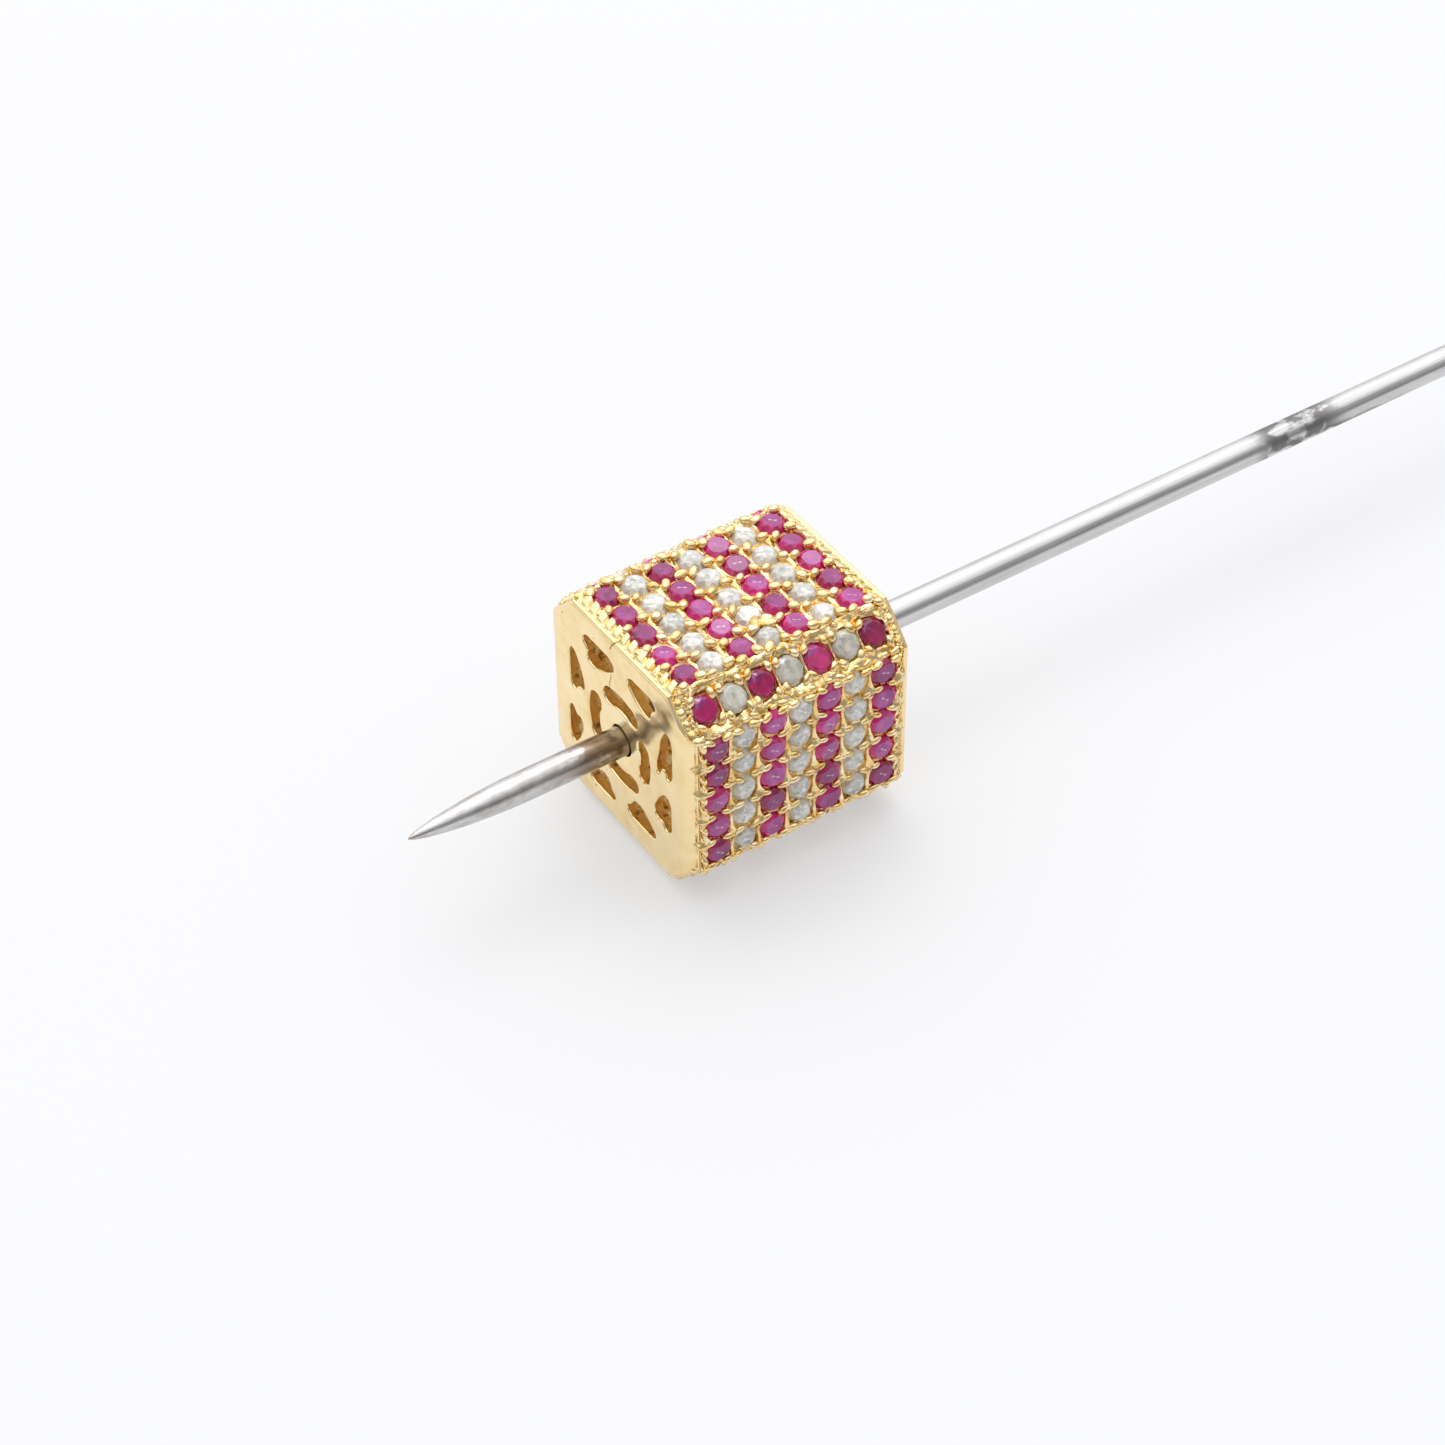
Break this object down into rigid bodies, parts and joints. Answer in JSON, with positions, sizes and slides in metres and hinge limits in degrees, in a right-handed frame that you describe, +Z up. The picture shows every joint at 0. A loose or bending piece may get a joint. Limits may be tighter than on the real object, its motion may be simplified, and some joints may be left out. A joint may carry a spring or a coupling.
{
  "type": "hat pin",
  "caption": "Pointed steel hat pin with a cube-shaped gold bead, pavé set in red and white stripes, that slides and turns on the stem.",
  "frame": {"origin": "under the middle of the pin's length, on the surface that the bead rests on", "axes": "+X along the stem from its point to its head, +Z up"},
  "size_m": [0.07, 0.0108, 0.0108],
  "materials": {
    "stem_steel": "satin",
    "spring_steel": "satin",
    "gold": "polished",
    "ruby": "polished",
    "diamond": "polished"
  },
  "bodies": {
    "pin": {"pin_stem": "stem_steel"},
    "sleeve": {"friction_sleeve": "spring_steel"},
    "bead": {"bead_body": "gold", "front_plate": "gold", "ruby_row_1_top": "ruby", "diamond_row_2_top": "diamond", "ruby_row_3_top": "ruby", "diamond_row_4_top": "diamond", "ruby_row_5_top": "ruby", "diamond_row_6_top": "diamond", "ruby_row_7_top": "ruby", "ruby_row_1_near": "ruby", "diamond_row_2_near": "diamond", "ruby_row_3_near": "ruby", "diamond_row_4_near": "diamond", "ruby_row_5_near": "ruby", "diamond_row_6_near": "diamond", "ruby_row_7_near": "ruby", "ruby_row_1_bottom": "ruby", "diamond_row_2_bottom": "diamond", "ruby_row_3_bottom": "ruby", "diamond_row_4_bottom": "diamond", "ruby_row_5_bottom": "ruby", "diamond_row_6_bottom": "diamond", "ruby_row_7_bottom": "ruby", "ruby_row_1_far": "ruby", "diamond_row_2_far": "diamond", "ruby_row_3_far": "ruby", "diamond_row_4_far": "diamond", "ruby_row_5_far": "ruby", "diamond_row_6_far": "diamond", "ruby_row_7_far": "ruby", "ruby_edge_1_top_near": "ruby", "diamond_edge_2_top_near": "diamond", "ruby_edge_3_top_near": "ruby", "diamond_edge_4_top_near": "diamond", "ruby_edge_5_top_near": "ruby", "diamond_edge_6_top_near": "diamond", "ruby_edge_7_top_near": "ruby", "ruby_edge_1_near_bottom": "ruby", "diamond_edge_2_near_bottom": "diamond", "ruby_edge_3_near_bottom": "ruby", "diamond_edge_4_near_bottom": "diamond", "ruby_edge_5_near_bottom": "ruby", "diamond_edge_6_near_bottom": "diamond", "ruby_edge_7_near_bottom": "ruby", "ruby_edge_1_bottom_far": "ruby", "diamond_edge_2_bottom_far": "diamond", "ruby_edge_3_bottom_far": "ruby", "diamond_edge_4_bottom_far": "diamond", "ruby_edge_5_bottom_far": "ruby", "diamond_edge_6_bottom_far": "diamond", "ruby_edge_7_bottom_far": "ruby", "ruby_edge_1_far_top": "ruby", "diamond_edge_2_far_top": "diamond", "ruby_edge_3_far_top": "ruby", "diamond_edge_4_far_top": "diamond", "ruby_edge_5_far_top": "ruby", "diamond_edge_6_far_top": "diamond", "ruby_edge_7_far_top": "ruby"}
  },
  "joints": [
    {"name": "bead_slide", "type": "slide", "parent": "pin", "child": "sleeve", "axis": [1, 0, 0], "range_m": [-0.022, 0.047]},
    {"name": "bead_spin", "type": "hinge", "parent": "sleeve", "child": "bead", "pos_m": [-0.01963, 0, 0.0054], "axis": [1, 0, 0], "continuous": true}
  ]
}
